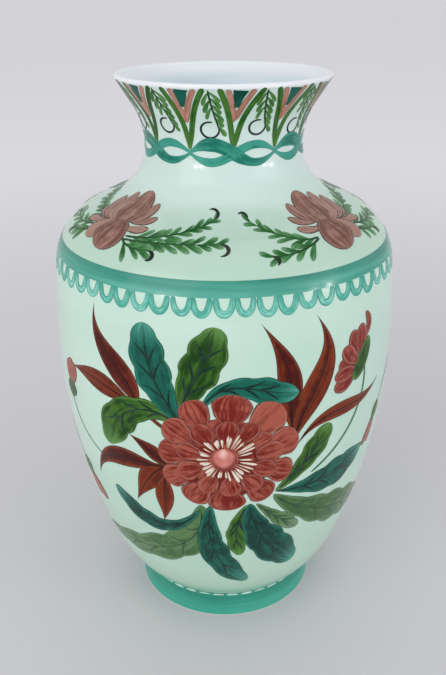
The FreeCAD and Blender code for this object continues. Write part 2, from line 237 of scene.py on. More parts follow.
enamels = {
    # colours: deep and light streaks, base end, tip end, edge, outline, fine hairs
    # then millimetres (outline, run, edgeReach), how many hairs, and weights from 0 to 1
    "tealLeaf": {
        "deep": (2, 60, 50), "light": (14, 100, 82), "base": (14, 94, 76), "tip": (96, 184, 166),
        "edge": (52, 146, 126), "line": (2, 34, 36), "hair": (4, 48, 44),
        "outline": 0.55, "hairs": 7, "run": 26, "edgeReach": 2.4,
        "streak": 0.75, "fine": 0.45, "tipFrom": 0.66, "tipWeight": 0.85,
    },
    "greenLeaf": {
        "deep": (14, 58, 6), "light": (60, 106, 30), "base": (116, 156, 88), "tip": (120, 170, 94),
        "edge": (102, 150, 74), "line": (14, 42, 14), "hair": (14, 52, 12),
        "outline": 0.55, "hairs": 7, "run": 24, "edgeReach": 2.4,
        "streak": 0.8, "fine": 0.45, "tipFrom": 0.64, "tipWeight": 0.65,
    },
    "paleLeaf": {
        "deep": (60, 100, 54), "light": (92, 130, 82), "base": (72, 112, 62), "tip": (136, 160, 138),
        "edge": (122, 156, 114), "line": (36, 66, 38), "hair": (52, 88, 50),
        "outline": 0.4, "hairs": 7, "run": 30, "edgeReach": 2.4,
        "streak": 0.7, "fine": 0.4, "tipFrom": 0.45, "tipWeight": 0.75,
    },
    "rustLeaf": {
        "deep": (72, 8, 0), "light": (118, 42, 8), "base": (112, 52, 22), "tip": (88, 30, 14),
        "edge": (152, 82, 48), "line": (40, 8, 4), "hair": (58, 8, 2),
        "outline": 0.6, "hairs": 4, "run": 90, "edgeReach": 2.2,
        "streak": 0.8, "fine": 0.5, "tipFrom": 0.7, "tipWeight": 0.6,
    },
    "redPetal": {
        "deep": (116, 28, 18), "light": (168, 88, 72), "base": (88, 22, 14), "tip": (162, 84, 68),
        "edge": (200, 142, 126), "line": (76, 18, 14), "hair": (84, 20, 14),
        "outline": 0.85, "hairs": 10, "run": 16, "edgeReach": 2.2,
        "streak": 0.95, "fine": 0.9, "tipFrom": 0.5, "tipWeight": 0.5,
    },
    "rosePetal": {
        "deep": (112, 70, 60), "light": (166, 128, 114), "base": (100, 58, 50), "tip": (152, 114, 100),
        "edge": (196, 166, 152), "line": (70, 32, 26), "hair": (82, 42, 34),
        "outline": 1.15, "hairs": 9, "run": 18, "edgeReach": 2.3,
        "streak": 0.85, "fine": 0.75, "tipFrom": 0.6, "tipWeight": 0.4,
    },
    "creamStroke": {
        "deep": (200, 190, 168), "light": (236, 232, 218), "base": (196, 160, 136), "tip": (232, 228, 214),
        "edge": (214, 196, 172), "line": (160, 96, 76), "hair": (196, 176, 148),
        "outline": 0.3, "hairs": 3, "run": 5, "edgeReach": 0.4,
        "streak": 0.8, "fine": 0.4, "tipFrom": 0.5, "tipWeight": 0.6,
    },
    "paleDash": {
        "deep": (188, 226, 214), "light": (218, 240, 232), "base": (168, 216, 202), "tip": (168, 216, 202),
        "edge": (150, 208, 192), "line": (44, 138, 120), "hair": (170, 216, 202),
        "outline": 0.4, "hairs": 3, "run": 5, "edgeReach": 0.5,
        "streak": 0.8, "fine": 0.3, "tipFrom": 0.8, "tipWeight": 0.4,
    },
    "loopTeal": {
        "deep": (76, 170, 150), "light": (138, 208, 192), "base": (46, 142, 124), "tip": (46, 142, 124),
        "edge": (58, 152, 134), "line": (40, 134, 116), "hair": (76, 168, 150),
        "outline": 0.4, "hairs": 4, "run": 7, "edgeReach": 1.0,
        "streak": 0.9, "fine": 0.5, "tipFrom": 0.68, "tipWeight": 0.8,
    },
    "ribbonTeal": {
        "deep": (12, 112, 94), "light": (62, 156, 138), "base": (92, 180, 162), "tip": (96, 184, 166),
        "edge": (62, 158, 140), "line": (24, 120, 102), "hair": (10, 100, 84),
        "outline": 0.25, "hairs": 8, "run": 16, "edgeReach": 1.0,
        "streak": 0.85, "fine": 0.45, "tipFrom": 0.72, "tipWeight": 0.9,
    },
    "darkTeal": {
        "deep": (2, 68, 56), "light": (14, 96, 80), "base": (16, 98, 82), "tip": (4, 64, 54),
        "edge": (28, 112, 96), "line": (2, 56, 48), "hair": (2, 52, 44),
        "outline": 0.15, "hairs": 6, "run": 8, "edgeReach": 0.5,
        "streak": 0.8, "fine": 0.5, "tipFrom": 0.6, "tipWeight": 0.5,
    },
    "greenStroke": {
        "deep": (22, 74, 14), "light": (66, 118, 44), "base": (96, 148, 70), "tip": (50, 102, 34),
        "edge": (80, 130, 60), "line": (20, 62, 16), "hair": (16, 58, 12),
        "outline": 0.2, "hairs": 4, "run": 14, "edgeReach": 0.6,
        "streak": 0.85, "fine": 0.45, "tipFrom": 0.7, "tipWeight": 0.4,
    },
    "fernStroke": {
        "deep": (20, 84, 34), "light": (66, 126, 66), "base": (18, 76, 30), "tip": (140, 186, 146),
        "edge": (84, 146, 90), "line": (44, 112, 58), "hair": (18, 70, 28),
        "outline": 0.12, "hairs": 4, "run": 8, "edgeReach": 0.7,
        "streak": 0.85, "fine": 0.45, "tipFrom": 0.45, "tipWeight": 0.8,
    },
    "sprigStroke": {
        "deep": (50, 102, 42), "light": (92, 140, 76), "base": (42, 94, 34), "tip": (112, 158, 100),
        "edge": (108, 154, 96), "line": (56, 104, 48), "hair": (58, 108, 48),
        "outline": 0.12, "hairs": 4, "run": 6, "edgeReach": 0.5,
        "streak": 0.8, "fine": 0.4, "tipFrom": 0.5, "tipWeight": 0.6,
    },
    "neckRose": {
        "deep": (160, 108, 90), "light": (196, 148, 132), "base": (178, 118, 98), "tip": (172, 122, 106),
        "edge": (208, 170, 156), "line": (128, 70, 50), "hair": (134, 80, 62),
        "outline": 0.3, "hairs": 4, "run": 10, "edgeReach": 0.7,
        "streak": 0.8, "fine": 0.5, "tipFrom": 0.7, "tipWeight": 0.4,
    },
    "darkLine": {
        "deep": (22, 32, 28), "light": (48, 56, 52), "base": (22, 50, 30), "tip": (40, 42, 46),
        "edge": (52, 60, 58), "line": (20, 26, 24), "hair": (18, 26, 22),
        "outline": 0.1, "hairs": 3, "run": 8, "edgeReach": 0.25,
        "streak": 0.7, "fine": 0.3, "tipFrom": 0.8, "tipWeight": 0.5,
    },
    "rustLine": {
        "deep": (34, 4, 2), "light": (54, 12, 6), "base": (44, 8, 4), "tip": (40, 8, 4),
        "edge": (70, 24, 12), "line": (44, 10, 4), "hair": (40, 8, 4),
        "outline": 0.08, "hairs": 3, "run": 10, "edgeReach": 0.2,
        "streak": 0.4, "fine": 0.3, "tipFrom": 0.8, "tipWeight": 0.3,
    },
    "veinLine": {
        "deep": (4, 38, 36), "light": (60, 92, 64), "base": (20, 58, 44), "tip": (30, 70, 52),
        "edge": (26, 66, 50), "line": (14, 50, 38), "hair": (8, 40, 34),
        "outline": 0.08, "hairs": 3, "run": 10, "edgeReach": 0.2,
        "streak": 0.4, "fine": 0.3, "tipFrom": 0.8, "tipWeight": 0.3,
    },
    "fernStem": {
        "deep": (16, 56, 26), "light": (34, 80, 40), "base": (20, 62, 28), "tip": (30, 66, 36),
        "edge": (36, 86, 42), "line": (18, 56, 26), "hair": (12, 46, 20),
        "outline": 0.1, "hairs": 3, "run": 10, "edgeReach": 0.3,
        "streak": 0.7, "fine": 0.3, "tipFrom": 0.8, "tipWeight": 0.5,
    },
    "stemLine": {
        "deep": (52, 100, 74), "light": (84, 130, 100), "base": (64, 104, 70), "tip": (52, 104, 74),
        "edge": (86, 132, 104), "line": (44, 86, 62), "hair": (46, 90, 64),
        "outline": 0.12, "hairs": 3, "run": 14, "edgeReach": 0.3,
        "streak": 0.7, "fine": 0.3, "tipFrom": 0.7, "tipWeight": 0.5,
    },
}


def strokeMasks(tree, look):
    # the masks for one enamel, with the fraction along the stroke, the fraction across it and its tone
    stroke = addNode(tree, "ShaderNodeAttribute", attribute_name="stroke").outputs["Vector"]
    tone = addNode(tree, "ShaderNodeAttribute", attribute_name="tone").outputs["Fac"]
    uv = addNode(tree, "ShaderNodeSeparateXYZ")
    tree.links.new(addNode(tree, "ShaderNodeUVMap", uv_map="UVMap").outputs[0], uv.inputs[0])
    marks = addNode(tree, "ShaderNodeGroup", node_tree=brushMarks)
    marks.inputs["Outline Width"].default_value = look["outline"]
    marks.inputs["Hairs"].default_value = look["hairs"]
    marks.inputs["Hair Length"].default_value = look["run"]
    for socket, source in (("Stroke", stroke), ("Across", uv.outputs["Y"]), ("Tone", tone)):
        tree.links.new(source, marks.inputs[socket])
    return marks.outputs, uv.outputs["X"], uv.outputs["Y"], tone


enamelGloss = 0.2  # painted enamel shines less than the glaze under it
hairHeight = 0.00002  # how deep the hairs of the brush mark the enamel, in metres


def enamelMaterial(name):
    look = enamels[name]
    material, tree, shader = newMaterial(name)
    marks, fraction, _, tone = strokeMasks(tree, look)
    lit = calc(tree, "MULTIPLY", calc(tree, "SUBTRACT", marks["Streaks"], 0.5), look["streak"])
    lit = calc(tree, "ADD", lit, calc(tree, "MULTIPLY", calc(tree, "SUBTRACT", marks["Patches"], 0.5), 0.5))
    lit = calc(tree, "ADD", lit, calc(tree, "MULTIPLY", calc(tree, "SUBTRACT", tone, 0.5), 0.8))
    lit = calc(tree, "ADD", lit, 0.5)
    colour = mixColours(tree, smooth(tree, lit, 0.0, 1.0), paint(*look["deep"]), paint(*look["light"]))
    atBase = smooth(tree, fraction, 0.0, 0.36, 0.8, 0.0)
    colour = mixColours(tree, atBase, colour, paint(*look["base"]))
    atTip = smooth(tree, fraction, look["tipFrom"], 1.0, 0.0, look["tipWeight"])
    atTip = calc(tree, "MULTIPLY", atTip, smooth(tree, marks["Streaks"], 0.0, 0.6, 0.35, 1.0))
    colour = mixColours(tree, atTip, colour, paint(*look["tip"]))
    nearEdge = smooth(tree, marks["Edge"], 0.0, look["edgeReach"], 0.7, 0.0)
    nearEdge = calc(tree, "MULTIPLY", nearEdge, smooth(tree, marks["Patches"], 0.1, 0.7, 0.4, 1.0))
    colour = mixColours(tree, nearEdge, colour, paint(*look["edge"]))
    fading = smooth(tree, fraction, 0.15, 0.95, look["fine"], 0.1)
    hairs = calc(tree, "MULTIPLY", marks["Fine Hairs"], fading)
    colour = mixColours(tree, hairs, colour, paint(*look["hair"]))
    colour = mixColours(tree, calc(tree, "MULTIPLY", marks["Outline"], 0.85), colour, paint(*look["line"]))
    tree.links.new(colour, shader.inputs["Base Color"])
    tree.links.new(smooth(tree, marks["Streaks"], 0.0, 1.0, 0.16, 0.27), shader.inputs["Roughness"])
    shader.inputs["Specular IOR Level"].default_value = enamelGloss
    addBump(tree, shader, marks["Streaks"], hairHeight)
    return material


pinkCentre = {
    "deep": (196, 112, 100), "light": (210, 136, 124), "shine": (236, 190, 180), "shade": (132, 48, 42),
    "line": (178, 98, 88),
    # middles of the light spot and of the ring that the shade starts from: along and across the stroke
    "shineAt": (0.72, 0.54), "shadeFrom": (0.64, 0.52),
}


def centreMaterial():
    # the raised pink centre of the large flower: light on top, with a dark crescent under it
    look = pinkCentre
    material, tree, shader = newMaterial("pinkCentre")
    marks, fraction, across, _ = strokeMasks(tree, enamels["redPetal"])

    def ringFrom(centreAlong, centreAcross):
        first = calc(tree, "MULTIPLY", calc(tree, "SUBTRACT", fraction, centreAlong), 2.0)
        second = calc(tree, "MULTIPLY", calc(tree, "SUBTRACT", across, centreAcross), 2.0)
        firstSquare = calc(tree, "MULTIPLY", first, first)
        secondSquare = calc(tree, "MULTIPLY", second, second)
        return calc(tree, "SQRT", calc(tree, "ADD", firstSquare, secondSquare))

    colour = mixColours(tree, marks["Patches"], paint(*look["deep"]), paint(*look["light"]))
    shine = smooth(tree, ringFrom(*look["shineAt"]), 0.05, 0.55, 1.0, 0.0)
    colour = mixColours(tree, shine, colour, paint(*look["shine"]))
    shade = smooth(tree, ringFrom(*look["shadeFrom"]), 0.6, 0.95)
    colour = mixColours(tree, shade, colour, paint(*look["shade"]))
    colour = mixColours(tree, calc(tree, "MULTIPLY", marks["Outline"], 0.8), colour, paint(*look["line"]))
    tree.links.new(colour, shader.inputs["Base Color"])
    tree.links.new(smooth(tree, marks["Streaks"], 0.0, 1.0, 0.14, 0.24), shader.inputs["Roughness"])
    addBump(tree, shader, marks["Streaks"], hairHeight)
    return material


ground = {
    # colours, the heights in metres that each goes between, and its weight
    "thin": (190, 221, 206), "thick": (201, 228, 215),
    # low: greener and darker low down, painted shade on the lower belly
    "low": (178, 214, 190), "lowHeights": (0.02, 0.15), "lowShadeWeight": 0.75,
    "neck": (212, 230, 226), "neckHeights": (0.255, 0.32), "neckWeight": 0.85,
    # shoulder: darker and greener on the upward-facing shoulder, painted shade
    "shoulder": (176, 206, 186), "shoulderRise": (0.255, 0.268), "shoulderFall": (0.276, 0.298),
    "shoulderShadeWeight": 0.75,
    "laps": (178, 214, 194), "lapWeight": 0.22,
    "flaws": [  # how close they are, how widely they gather, weight, colour
        (42.0, 26.0, 0.9, (238, 240, 238)), (60.0, 19.0, 0.7, (150, 134, 96)),
    ],
}


def groundMaterial():
    # pale mint ground: paler towards the neck, greener and darker low down as painted shade, in soft
    # patches, with painted shade on the upward-facing shoulder, and a few tiny flaws
    look = ground
    material, tree, shader = newMaterial("mintGround")
    place = objectPlace(tree)
    height = addNode(tree, "ShaderNodeSeparateXYZ")
    tree.links.new(place, height.inputs[0])
    patches = smooth(tree, noise(tree, place, 9.0, 3), 0.3, 0.7)
    colour = mixColours(tree, patches, paint(*look["thin"]), paint(*look["thick"]))
    # painted shade: greener and darker low down on the belly
    down = smooth(tree, height.outputs["Z"], *look["lowHeights"], look["lowShadeWeight"], 0.0)
    colour = mixColours(tree, down, colour, paint(*look["low"]))
    up = smooth(tree, height.outputs["Z"], *look["neckHeights"], 0.0, look["neckWeight"])
    colour = mixColours(tree, up, colour, paint(*look["neck"]))
    # painted shade on the upward-facing shoulder, between these heights
    risen = smooth(tree, height.outputs["Z"], *look["shoulderRise"])
    fallen = smooth(tree, height.outputs["Z"], *look["shoulderFall"], 1.0, 0.0)
    shoulderPaintedShade = calc(tree, "MULTIPLY", calc(tree, "MULTIPLY", risen, fallen), look["shoulderShadeWeight"])
    colour = mixColours(tree, shoulderPaintedShade, colour, paint(*look["shoulder"]))
    lapNoise = noise(tree, stretched(tree, place, (6, 6, 70)), 1.0, 2)
    laps = smooth(tree, lapNoise, 0.42, 0.68, 0.0, look["lapWeight"])
    colour = mixColours(tree, laps, colour, paint(*look["laps"]))
    for scale, spread, tint, flawColour in look["flaws"]:
        flakes = addNode(tree, "ShaderNodeTexVoronoi", feature="F1")
        flakes.inputs["Scale"].default_value = scale
        tree.links.new(place, flakes.inputs["Vector"])
        chosen = smooth(tree, noise(tree, place, spread, 1), 0.67, 0.7, 0.0, tint)
        spot = smooth(tree, flakes.outputs["Distance"], 0.02, 0.035, 1.0, 0.0)
        colour = mixColours(tree, calc(tree, "MULTIPLY", spot, chosen), colour, paint(*flawColour))
    tree.links.new(colour, shader.inputs["Base Color"])
    tree.links.new(smooth(tree, patches, 0.0, 1.0, 0.13, 0.2), shader.inputs["Roughness"])
    addBump(tree, shader, noise(tree, place, 55.0, 2), 0.0001, 0.35)
    return material


porcelain = {
    "thick": (208, 222, 229), "thin": (220, 230, 235), "lip": (232, 237, 241), "lipHeights": (0.350, 0.357),
    "speck": (120, 112, 100), "biscuit": [(206, 198, 184), (232, 227, 217)], "bareHeights": (0.0005, 0.0011),
}


def porcelainMaterial():
    # white ware under a clear glaze, a little blue where it lies thick, bare and dull on the resting face
    look = porcelain
    material, tree, shader = newMaterial("whitePorcelain")
    place = objectPlace(tree)
    height = addNode(tree, "ShaderNodeSeparateXYZ")
    tree.links.new(place, height.inputs[0])
    clouds = smooth(tree, noise(tree, place, 14.0, 3), 0.3, 0.7)
    colour = mixColours(tree, clouds, paint(*look["thick"]), paint(*look["thin"]))
    lip = smooth(tree, height.outputs["Z"], *look["lipHeights"])
    colour = mixColours(tree, lip, colour, paint(*look["lip"]))
    specks = addNode(tree, "ShaderNodeTexVoronoi", feature="F1")
    specks.inputs["Scale"].default_value = 95.0
    tree.links.new(place, specks.inputs["Vector"])
    rare = smooth(tree, noise(tree, place, 40.0, 1), 0.68, 0.72)
    speck = calc(tree, "MULTIPLY", smooth(tree, specks.outputs["Distance"], 0.03, 0.06, 0.6, 0.0), rare)
    colour = mixColours(tree, speck, colour, paint(*look["speck"]))
    bare = smooth(tree, height.outputs["Z"], *look["bareHeights"], 1.0, 0.0)
    grain = noise(tree, place, 900.0, 3)
    biscuit = mixColours(tree, grain, *(paint(*colour) for colour in look["biscuit"]))
    colour = mixColours(tree, bare, colour, biscuit)
    tree.links.new(colour, shader.inputs["Base Color"])
    tree.links.new(smooth(tree, bare, 0.0, 1.0, 0.12, 0.85), shader.inputs["Roughness"])
    addBump(tree, shader, noise(tree, place, 60.0, 2), 0.0001, 0.3)
    return material


brushedGloss = 0.35
brushedTeals = {
    # heights in metres between which the low colours give way to the high ones, each deep and then light
    "tealBand": {"from": 0.2585, "to": 0.2655, "low": [(50, 142, 124), (92, 176, 158)],
                 "high": [(28, 120, 102), (66, 150, 132)]},
    # the foot goes darker towards the crease: painted shade under the overhanging belly
    "tealFoot": {"from": 0.002, "to": 0.016, "low": [(54, 158, 136), (80, 178, 156)],
                 "high": [(28, 126, 104), (48, 148, 126)]},
}


def brushedTealMaterial(name):
    # teal enamel drawn round with a loaded brush, so the streaks run round the vase
    look = brushedTeals[name]
    material, tree, shader = newMaterial(name)
    place = objectPlace(tree)
    height = addNode(tree, "ShaderNodeSeparateXYZ")
    tree.links.new(place, height.inputs[0])
    streaks = smooth(tree, noise(tree, stretched(tree, place, (14, 14, 420)), 1.0, 3), 0.25, 0.75)
    pools = smooth(tree, noise(tree, stretched(tree, place, (22, 22, 60)), 1.0, 2), 0.3, 0.7)
    blend = calc(tree, "ADD", calc(tree, "MULTIPLY", streaks, 0.6), calc(tree, "MULTIPLY", pools, 0.4))
    low = mixColours(tree, blend, *(paint(*colour) for colour in look["low"]))
    high = mixColours(tree, blend, *(paint(*colour) for colour in look["high"]))
    # on the foot the darker high colours are painted shade under the overhanging belly
    rise = smooth(tree, height.outputs["Z"], look["from"], look["to"])
    tree.links.new(mixColours(tree, rise, low, high), shader.inputs["Base Color"])
    tree.links.new(smooth(tree, streaks, 0.0, 1.0, 0.14, 0.24), shader.inputs["Roughness"])
    shader.inputs["Specular IOR Level"].default_value = brushedGloss
    addBump(tree, shader, streaks, 0.00004, 0.6)
    return material


def floorMaterial():
    material, tree, shader = newMaterial("paleFloor")
    place = objectPlace(tree)
    cloud = noise(tree, place, 3.0, 4)
    near = mixColours(tree, cloud, *(paint(*colour) for colour in studio["floorColours"]))
    away = addNode(tree, "ShaderNodeVectorMath", operation="LENGTH")
    tree.links.new(place, away.inputs[0])
    far = smooth(tree, away.outputs["Value"], *studio["floorFade"])
    colour = mixColours(tree, far, near, paint(*studio["farFloorColour"]))
    tree.links.new(colour, shader.inputs["Base Color"])
    shader.inputs["Roughness"].default_value = 0.55
    return material


def addFloor():
    bpy.ops.object.select_all(action="DESELECT")
    bpy.ops.mesh.primitive_circle_add(vertices=96, radius=studio["floorRadius"], fill_type="NGON")
    floor = bpy.context.object
    floor.name = "floor"
    floor.data.materials.append(floorMaterial())


addFloor()

finishes = {
    "body": porcelainMaterial(), "body_coat": groundMaterial(),
    "shoulder_band": brushedTealMaterial("tealBand"), "foot_band": brushedTealMaterial("tealFoot"),
}
sameAs = {"neck": "body", "foot_ring": "body", "neck_coat": "body_coat"}
for node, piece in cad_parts.items():
    finish = finishes[sameAs.get(node, node)]
    for materialSlot in piece.material_slots:
        materialSlot.material = finish
print("floor and ware are finished")


creaseHeight = 0.0197  # where the body meets the foot, and where distances up the wall are 0
slopeSteps = 12  # steps of the wall on each side of a point that give its slope


def readWall():
    # the outside as (height, radius, distance up the wall), felt from outside at many heights
    trees = []
    for node in ("foot_ring", "foot_band", "body_coat", "neck_coat", "neck"):
        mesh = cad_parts[node].data
        corners = [vertex.co for vertex in mesh.vertices]
        trees.append(BVHTree.FromPolygons(corners, [face.vertices for face in mesh.polygons]))
    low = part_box("foot_ring")[0].z
    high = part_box("neck")[1].z
    steps, rays, far = 1500, 9, 0.3
    wall, travelled, previous, start = [], 0.0, None, 0.0
    for step in range(steps):
        height = low + (high - low) * (step + 0.5) / steps
        radius = 0.0
        for ray in range(rays):
            turn = 2 * math.pi * (ray + 0.37) / rays
            outward = Vector((math.cos(turn), math.sin(turn), 0))
            for tree in trees:
                hit = tree.ray_cast(outward * far + Vector((0, 0, height)), -outward)[0]
                if hit:
                    radius = max(radius, hit.xy.length)
        if previous:
            travelled += math.hypot(height - previous[0], radius - previous[1])
        if height < creaseHeight:
            start = travelled
        previous = (height, radius)
        wall.append((height, radius, travelled))
    return [(height, radius, distance - start) for height, radius, distance in wall]


wall = readWall()
wallDistances = [place[2] for place in wall]
print("the wall is", round(wallDistances[-1] / mm, 1), "mm long from the crease to the lip")


def onVase(angle, along, lift):
    # a point on the vase: angle from the front, millimetres up the wall from the crease, millimetres off it
    distance = along * mm
    index = min(max(bisect.bisect(wallDistances, distance), 1), len(wall) - 1)
    (lowZ, lowR, lowS), (highZ, highR, highS) = wall[index - 1], wall[index]
    share = (distance - lowS) / max(highS - lowS, 1e-9)
    height = lowZ + (highZ - lowZ) * share
    radius = lowR + (highR - lowR) * share
    before, after = wall[max(index - slopeSteps, 0)], wall[min(index + slopeSteps, len(wall) - 1)]
    rise, spread = after[0] - before[0], after[1] - before[1]
    steep = math.hypot(rise, spread)
    radius += lift * mm * rise / steep
    height -= lift * mm * spread / steep
    return Vector((radius * math.sin(angle), -radius * math.cos(angle), height))


def roundEnds(t, start, end):
    # 1 in the middle, closing in a quarter circle over the first and the last part
    value = 1.0
    if t < start:
        value *= math.sqrt(max(0.0, 1 - (1 - t / start) ** 2))
    if t > 1 - end:
        value *= math.sqrt(max(0.0, 1 - ((t - 1 + end) / end) ** 2))
    return value


def swell(t, peak, power):
    # a lens that is widest at peak
    return math.sin(math.pi * t ** (math.log(0.5) / math.log(peak))) ** power


shapes = {
    # width along the stroke, as a fraction of its full width, from t = 0 to 1
    "spoon": lambda t, peak: (0.1 + 0.9 * min(1, t / peak) ** 0.85) * roundEnds(t, 0.04, 0.34),
    "blade": lambda t, peak: swell(t, peak, 1.4),
    "long": lambda t, peak: swell(t, peak, 0.75),
    "petal": lambda t, peak: (0.62 + 0.38 * min(1, t / 0.6)) * roundEnds(t, 0.3, 0.44),
    "tongue": lambda t, peak: (0.25 + 0.75 * min(1, t / peak)) * roundEnds(t, 0.1, 0.34),
    "disc": lambda t, peak: math.sqrt(max(0.0, 1 - (2 * t - 1) ** 2)),
    "oval": lambda t, peak: max(0.0, 1 - abs(2 * t - 1) ** 2.4) ** 0.55,
    "line": lambda t, peak: roundEnds(t, 0.06, 0.06) * (0.8 + 0.2 * math.sin(math.pi * t)),
    "dab": lambda t, peak: (0.3 + 0.7 * min(1, t / peak)) * roundEnds(t, 0.12, 0.34),
    "taper": lambda t, peak: (1 - 0.65 * t) * roundEnds(t, 0.06, 0.1),
    "arm": lambda t, peak: min(1, 0.3 + 4 * t) * (1 - 0.2 * t) * roundEnds(t, 0.03, 0.05),
    "hook": lambda t, peak: swell(t, peak, 0.6),
    "wedge": lambda t, peak: 0.3 + 0.7 * t,
}


def through(points):
    # a smooth path that passes its points at even steps
    count = len(points) - 1

    def place(t):
        x = y = 0.0
        for i, (pointX, pointY) in enumerate(points):
            weight = 1.0
            for j in range(count + 1):
                if j != i:
                    weight *= (t * count - j) / (i - j)
            x += pointX * weight
            y += pointY * weight
        return x, y

    return place


def arc(centre, radius, start, sweep):
    # a path round a centre, in degrees
    def place(t):
        turn = math.radians(start + sweep * t)
        return centre[0] + radius * math.cos(turn), centre[1] + radius * math.sin(turn)

    return place


def beside(path, t, across):
    # the point that far to the left of a path
    (x, y), (nextX, nextY), (lastX, lastY) = path(t), path(t + 0.01), path(t - 0.01)
    stepX, stepY = nextX - lastX, nextY - lastY
    size = math.hypot(stepX, stepY) or 1.0
    return x - stepY / size * across, y + stepX / size * across


def lengthOf(path):
    spots = [path(i / 24) for i in range(25)]
    return sum(math.dist(a, b) for a, b in zip(spots, spots[1:]))


sheets = {}
bellyRadius = 109.4  # millimetres
cells = {"size": 2.6, "width": 4.4, "fewestLong": 6, "mostLong": 52, "fewestWide": 2, "mostWide": 10}


def strokeSheet(lengthCells, widthCells):
    # a flat sheet of cells, made once for each size and copied for every stroke
    key = (lengthCells, widthCells)
    if key not in sheets:
        bpy.ops.object.select_all(action="DESELECT")
        bpy.ops.mesh.primitive_grid_add(x_subdivisions=lengthCells, y_subdivisions=widthCells, size=2)
        sheets[key] = bpy.context.object
    return sheets[key]


def startPiece(name, turn=0.0, radius=bellyRadius, flip=1):
    # strokes are placed in millimetres: x round the vase at this radius, y up the wall
    piece = {"name": name, "turn": math.radians(turn), "radius": radius, "flip": flip}
    piece["strokes"] = []
    piece["top"] = 0.0  # millimetres that its highest stroke stands above the coat
    return piece


def addStroke(piece, path, width, shape, lift, peak=0.5, lobes=0, depth=0.0, dome=0.0, cell=cells["size"],
              tone=None):
    # the path is points or a function from 0 to 1, depth is how deep the lobes are cut,
    # and dome is how far the middle rises
    if not callable(path):
        path = through(path)
    length = lengthOf(path)
    lengthCells = min(cells["mostLong"], max(cells["fewestLong"], round(length / cell)))
    widthCells = min(cells["mostWide"], max(cells["fewestWide"], 2 * round(width / cells["width"])))
    mesh = strokeSheet(lengthCells, widthCells).data.copy()
    profile, ownTone = shapes[shape], random.random()
    if tone is not None:
        ownTone = tone + (ownTone - 0.5) * 0.1
    phases = [random.random() * math.pi for side in range(2)]
    places, facts = [], []
    for vertex in mesh.vertices:
        share, side = (vertex.co.x + 1) / 2, vertex.co.y
        t = 0.5 - 0.5 * math.cos(math.pi * share)
        half = width / 2 * profile(t, peak)
        if lobes:
            wave = abs(math.sin(math.pi * lobes * t + phases[side > 0]))
            half *= 1 - depth * (1 - wave) * min(1, max(0, t - 0.12) / 0.25)
        x, y = beside(path, t, side * half)
        height = lift + dome * (1 - side * side) * math.sqrt(max(0.0, 4 * t * (1 - t)))
        places.extend(onVase(piece["turn"] + x * piece["flip"] / piece["radius"], y, height))
        facts.extend((t * length, side * half, half))
    mesh.vertices.foreach_set("co", places)
    if piece["flip"] < 0:
        mesh.flip_normals()
    mesh.attributes.new("stroke", "FLOAT_VECTOR", "POINT").data.foreach_set("vector", facts)
    tones = mesh.attributes.new("tone", "FLOAT", "POINT")
    tones.data.foreach_set("value", [ownTone] * len(mesh.vertices))
    stroke = bpy.data.objects.new("stroke", mesh)
    bpy.context.scene.collection.objects.link(stroke)
    piece["strokes"].append(stroke)
    piece["top"] = max(piece["top"], lift)


materials = {"pinkCentre": centreMaterial()}
rootDepth = 0.14  # millimetres that a stroke's underside reaches into the coat
weldGap = 0.01 * mm
smoothAngle = math.radians(40)


def finishPiece(piece, finish):
    # joins the strokes, closes their pointed ends and gives them their thickness
    bpy.ops.object.select_all(action="DESELECT")
    for stroke in piece["strokes"]:
        stroke.select_set(True)
    made = piece["strokes"][0]
    bpy.context.view_layer.objects.active = made
    if len(piece["strokes"]) > 1:
        bpy.ops.object.join()
    made.name = piece["name"]
    made.data.name = piece["name"]
    bpy.ops.object.mode_set(mode="EDIT")
    bpy.ops.mesh.select_all(action="SELECT")
    bpy.ops.mesh.remove_doubles(threshold=weldGap)
    bpy.ops.mesh.dissolve_degenerate(threshold=weldGap)
    bpy.ops.mesh.select_all(action="SELECT")
    bpy.ops.mesh.delete_loose()
    bpy.ops.object.mode_set(mode="OBJECT")
    solid = made.modifiers.new("thickness", "SOLIDIFY")
    solid.thickness = (piece["top"] + rootDepth) * mm
    solid.offset = -1
    bpy.ops.object.modifier_apply(modifier="thickness")
    bpy.ops.object.shade_smooth_by_angle(angle=smoothAngle)
    if finish not in materials:
        materials[finish] = enamelMaterial(finish)
    made.data.materials.clear()
    made.data.materials.append(materials[finish])
    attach(made, "root")


layers = {
    # how far each layer of paint stands above the ground coat, in millimetres
    "stem": 0.1, "rust": 0.12, "green": 0.165, "teal": 0.21, "bed": 0.25, "outer": 0.27, "inner": 0.35,
    "stamen": 0.43, "centre": 0.46, "step": 0.025, "leafStep": 0.008, "vein": 0.018,
}

